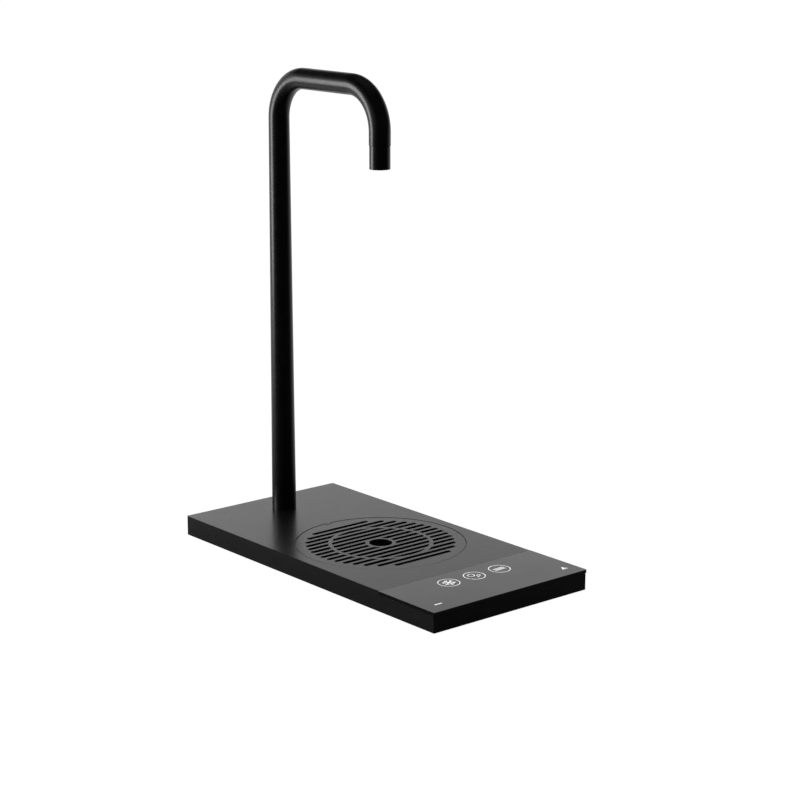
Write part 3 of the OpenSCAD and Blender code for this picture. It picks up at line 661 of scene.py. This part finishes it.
# %% Countersunk screws
HEAD_RADIUS = 0.0028
MIDDLE_ROWS = 0.06363
screw_low, screw_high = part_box("bottom_plate_screws")
screw_x = screw_high.x - HEAD_RADIUS
screw_rows = (screw_low.y + HEAD_RADIUS, spout_y - MIDDLE_ROWS, spout_y + MIDDLE_ROWS,
              screw_high.y - HEAD_RADIUS)
seats = [(side * screw_x, y, screw_low.z) for side in (-1, 1) for y in screw_rows]
screw_mesh = grow("plate_screws", screw_tree, {
    "Head Radius": HEAD_RADIUS, "Head Height": 0.0013, "Shank Radius": 0.0015, "Length": 0.006,
    "Slot Width": 0.0007, "Slot Depth": 0.0009, "Seed": 7, "Paint": plain_steel}, seats)
plate_screws = place_piece("plate_screws", screw_mesh, "base")
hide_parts("bottom_plate_screws")

# %% [markdown]
# ## Symbols on the panel
# The symbols are screen-printed in white behind the glass, and lit from below by small lights. Most
# are line drawings, so one group turns any curve into a stroke of ink: a thin tube along the
# curve, pressed flat. Its lower half lies in the glass, and 0.03 mm stands on it. The triangle
# is the one filled mark, a thin plate. The ink gives off a little light, as lit symbols do.

# %% White ink
white_ink = finish("screen_print_white_backlit", ("#ececec", "#f4f4f4"), roughness=(0.4, 0.5),
                   drift_mm=2, grain_mm=0.3, depth_mm=0.0003,
                   more={"Emission Color": WHITE, "Emission Strength": 0.25})

# %% A stroke of ink
PEN_SIDES = 8
stroke, size = new_tree("ink_stroke", {"Line": "shape", "Width": "m", "Height": "m"})
pen = add(stroke, "GeometryNodeCurvePrimitiveCircle",
          {"Resolution": PEN_SIDES, "Radius": maths(stroke, "MULTIPLY", size["Width"], 0.5)})
rope = add(stroke, "GeometryNodeCurveToMesh",
           {"Curve": size["Line"], "Profile Curve": pen.outputs[0], "Fill Caps": True})
squeeze = vector(stroke, X=1.0, Y=1.0, Z=maths(stroke, "DIVIDE", size["Height"], size["Width"]))
flat_ink = add(stroke, "GeometryNodeTransform", {"Geometry": rope.outputs[0], "Scale": squeeze})
add(stroke, "NodeGroupOutput", {0: flat_ink.outputs[0]})
print("stroke group with", len(stroke.nodes), "nodes")


# %% Use the stroke, and set a drawing on points
def inked(tree, line, inputs):
    sockets = {"Line": line, "Width": inputs["Width"], "Height": inputs["Height"]}
    return add(tree, "GeometryNodeGroup", sockets, node_tree=stroke).outputs[0]


def on_points(tree, points, drawing, turned=None):
    sockets = {"Points": points, "Instance": drawing}
    if turned is not None:
        sockets["Rotation"] = turned
    return add(tree, "GeometryNodeInstanceOnPoints", sockets).outputs[0]


# %% Places of the symbols
guide_low, guide_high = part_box("icon_light_guides")
guide_radius = (guide_high.y - guide_low.y) / 2
icon_y = (guide_low.y + guide_high.y) / 2
icon_x = (guide_low.x + guide_radius, (guide_low.x + guide_high.x) / 2, guide_high.x - guide_radius)
glass_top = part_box("touch_panel")[1].z
ring_places = [(x, icon_y, glass_top) for x in icon_x]
INK = {"Width": 0.00068, "Height": 0.00006, "Paint": white_ink}
BOLD = {**INK, "Width": 0.0009}
print("icons at", [round(1000 * x, 1) for x in icon_x], "mm")

# %% Rings: round every symbol, and the bubbles
RING_RADIUS = 0.0082
RING_STEPS = 96
BUBBLES = {"big_bubble": (-0.0015, 0.0020, 0.0026), "middle_bubble": (0.0030, -0.0012, 0.0014),
           "small_bubble": (0.0006, -0.0039, 0.0005)}
ring_tree, size = new_tree("ink_rings", {
    "Places": "shape", "Radius": "m", "Width": "m", "Height": "m", "Paint": "paint"})
circle = add(ring_tree, "GeometryNodeCurvePrimitiveCircle",
             {"Resolution": RING_STEPS, "Radius": size["Radius"]})
ring = inked(ring_tree, circle.outputs[0], size)
close_tree(ring_tree, on_points(ring_tree, size["Places"], ring), size["Paint"])
prints = [grow("symbol_rings", ring_tree, {**INK, "Radius": RING_RADIUS}, ring_places)]
for name, (right, back, radius) in BUBBLES.items():
    prints.append(grow(name, ring_tree, {**INK, "Radius": radius},
                       [(icon_x[1] + right, icon_y + back, glass_top)]))

# %% Snowflake: one arm, six times
FORK_SHARE = 0.55
flake_tree, size = new_tree("ink_snowflake", {
    "Places": "shape", "Arms": "n", "First Turn": "m", "Length": "m", "Barb": "m", "Width": "m",
    "Height": "m", "Paint": "paint"})
arm_end = vector(flake_tree, X=size["Length"])
arm = add(flake_tree, "GeometryNodeCurvePrimitiveLine", {"End": arm_end})
fork = maths(flake_tree, "MULTIPLY", size["Length"], FORK_SHARE)
tip = maths(flake_tree, "ADD", fork, size["Barb"])
down = maths(flake_tree, "MULTIPLY", size["Barb"], -1.0)
fork_at = vector(flake_tree, X=fork)
arm_lines = add(flake_tree, "GeometryNodeJoinGeometry", {0: arm.outputs[0]})
for rise_of_barb in (size["Barb"], down):
    barb = add(flake_tree, "GeometryNodeCurvePrimitiveLine",
               {"Start": fork_at, "End": vector(flake_tree, X=tip, Y=rise_of_barb)})
    flake_tree.links.new(barb.outputs[0], arm_lines.inputs[0])
hub = add(flake_tree, "GeometryNodePoints", {"Count": size["Arms"]})
part_turn = maths(flake_tree, "DIVIDE", math.tau, size["Arms"])
which = add(flake_tree, "GeometryNodeInputIndex").outputs[0]
angle = maths(flake_tree, "MULTIPLY_ADD", which, part_turn, size["First Turn"])
star = on_points(flake_tree, hub.outputs[0], inked(flake_tree, arm_lines.outputs[0], size),
                 vector(flake_tree, Z=angle))
close_tree(flake_tree, on_points(flake_tree, size["Places"], star), size["Paint"])
prints.append(grow("snowflake", flake_tree, {
    **BOLD, "Arms": 6, "First Turn": math.radians(30), "Length": 0.0053, "Barb": 0.0014},
    ring_places[:1]))

# %% Waves: one line, bent by a sine and repeated
WAVE_STEPS = 48
wave_tree, size = new_tree("ink_waves", {
    "Places": "shape", "Rows": "n", "Row Gap": "m", "Length": "m", "Wave": "m", "Swing": "m",
    "Width": "m", "Height": "m", "Paint": "paint"})
half_wave = maths(wave_tree, "MULTIPLY", size["Length"], 0.5)
left = maths(wave_tree, "MULTIPLY", half_wave, -1.0)
rule = add(wave_tree, "GeometryNodeCurvePrimitiveLine",
           {"Start": vector(wave_tree, X=left), "End": vector(wave_tree, X=half_wave)})
beads = add(wave_tree, "GeometryNodeResampleCurve", {"Curve": rule.outputs[0], "Count": WAVE_STEPS})
bead_place = add(wave_tree, "GeometryNodeInputPosition").outputs[0]
along_x = add(wave_tree, "ShaderNodeSeparateXYZ", {0: bead_place}).outputs["X"]
turns = maths(wave_tree, "DIVIDE", along_x, size["Wave"])
sine = maths(wave_tree, "SINE", maths(wave_tree, "MULTIPLY", turns, math.tau))
sway = vector(wave_tree, Y=maths(wave_tree, "MULTIPLY", sine, size["Swing"]))
ripple = add(wave_tree, "GeometryNodeSetPosition", {"Geometry": beads.outputs[0], "Offset": sway})
wave = inked(wave_tree, ripple.outputs[0], size)
gaps = maths(wave_tree, "SUBTRACT", size["Rows"], 1.0)
row_span = maths(wave_tree, "MULTIPLY", gaps, size["Row Gap"])
row_start = vector(wave_tree, Y=maths(wave_tree, "MULTIPLY", row_span, -0.5))
rows = add(wave_tree, "GeometryNodeMeshLine",
           {"Count": size["Rows"], "Start Location": row_start,
            "Offset": vector(wave_tree, Y=size["Row Gap"])})
stack = on_points(wave_tree, rows.outputs[0], wave)
close_tree(wave_tree, on_points(wave_tree, size["Places"], stack), size["Paint"])
prints.append(grow("waves", wave_tree, {
    **BOLD, "Rows": 3, "Row Gap": 0.0016, "Length": 0.0100, "Wave": 0.0028, "Swing": 0.0002},
    ring_places[2:]))

# %% Two indicators: a triangle and a dash
TRIANGLE_PLACE = (0.0643, -0.1400, glass_top)
DASH_PLACE = (-0.0606, -0.1404, glass_top)
mark_tree, size = new_tree("ink_marks", {
    "Places": "shape", "Corners": "n", "Radius": "m", "Turn": "v", "Height": "m", "Paint": "paint"})
plate = add(mark_tree, "GeometryNodeMeshCylinder",
            {"Vertices": size["Corners"], "Radius": size["Radius"], "Depth": size["Height"]})
mark = on_points(mark_tree, size["Places"], plate.outputs[0], size["Turn"])
close_tree(mark_tree, mark, size["Paint"])
prints.append(grow("triangle", mark_tree, {
    **INK, "Corners": 3, "Radius": 0.0033, "Turn": (0.0, 0.0, math.radians(90))},
    [TRIANGLE_PLACE]))
prints.append(grow("dash", wave_tree, {
    **INK, "Width": 0.0013, "Rows": 1, "Row Gap": 0.0, "Length": 0.0070, "Wave": 0.0028,
    "Swing": 0.0}, [DASH_PLACE]))

# %% Join the print
ink = bmesh.new()
for drawing in prints:
    ink.from_mesh(drawing)
print_mesh = bpy.data.meshes.new("panel_print")
ink.to_mesh(print_mesh)
ink.free()
smooth_in(print_mesh, white_ink)
place_piece("panel_print", print_mesh, "base")
